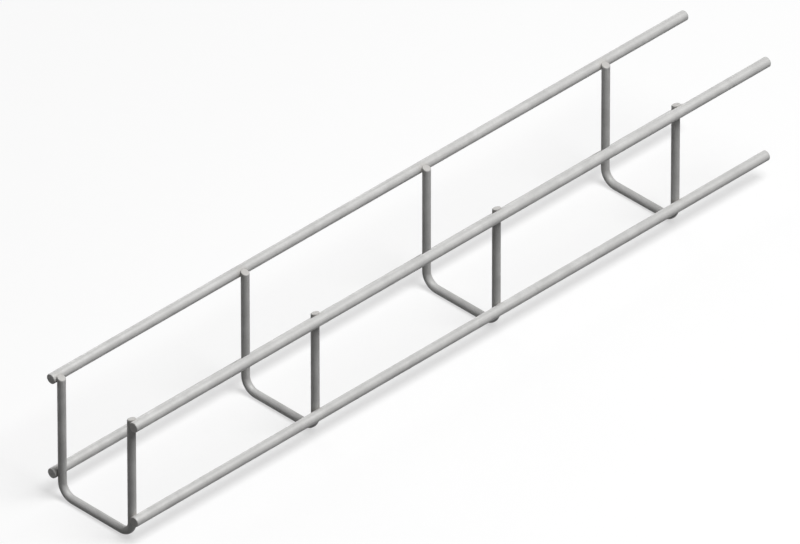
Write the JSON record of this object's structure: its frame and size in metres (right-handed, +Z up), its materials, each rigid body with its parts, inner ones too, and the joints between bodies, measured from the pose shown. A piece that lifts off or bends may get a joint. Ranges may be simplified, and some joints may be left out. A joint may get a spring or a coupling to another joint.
{
  "type": "wire mesh cable basket",
  "caption": "Open wire trough that carries cables: U-shaped cross wires welded inside straight long wires at the rim and near the floor.",
  "frame": {"origin": "middle of the footprint, on the level floor that the cross wires stand on", "axes": "+X along the basket, from the short stubs to the long ones; +Y across it, to the left seen along +X; +Z up, to the open side"},
  "size_m": [0.3504, 0.05, 0.058],
  "materials": {
    "long_wire": "zinc-plated drawn wire, satin",
    "cross_wire": "zinc-plated drawn wire, satin"
  },
  "bodies": {
    "root": {"rim_wire_left": "long_wire", "rim_wire_right": "long_wire", "lower_wire_left": "long_wire", "lower_wire_right": "long_wire", "cross_wire_1": "cross_wire", "cross_wire_2": "cross_wire", "cross_wire_3": "cross_wire", "cross_wire_4": "cross_wire"}
  },
  "joints": []
}
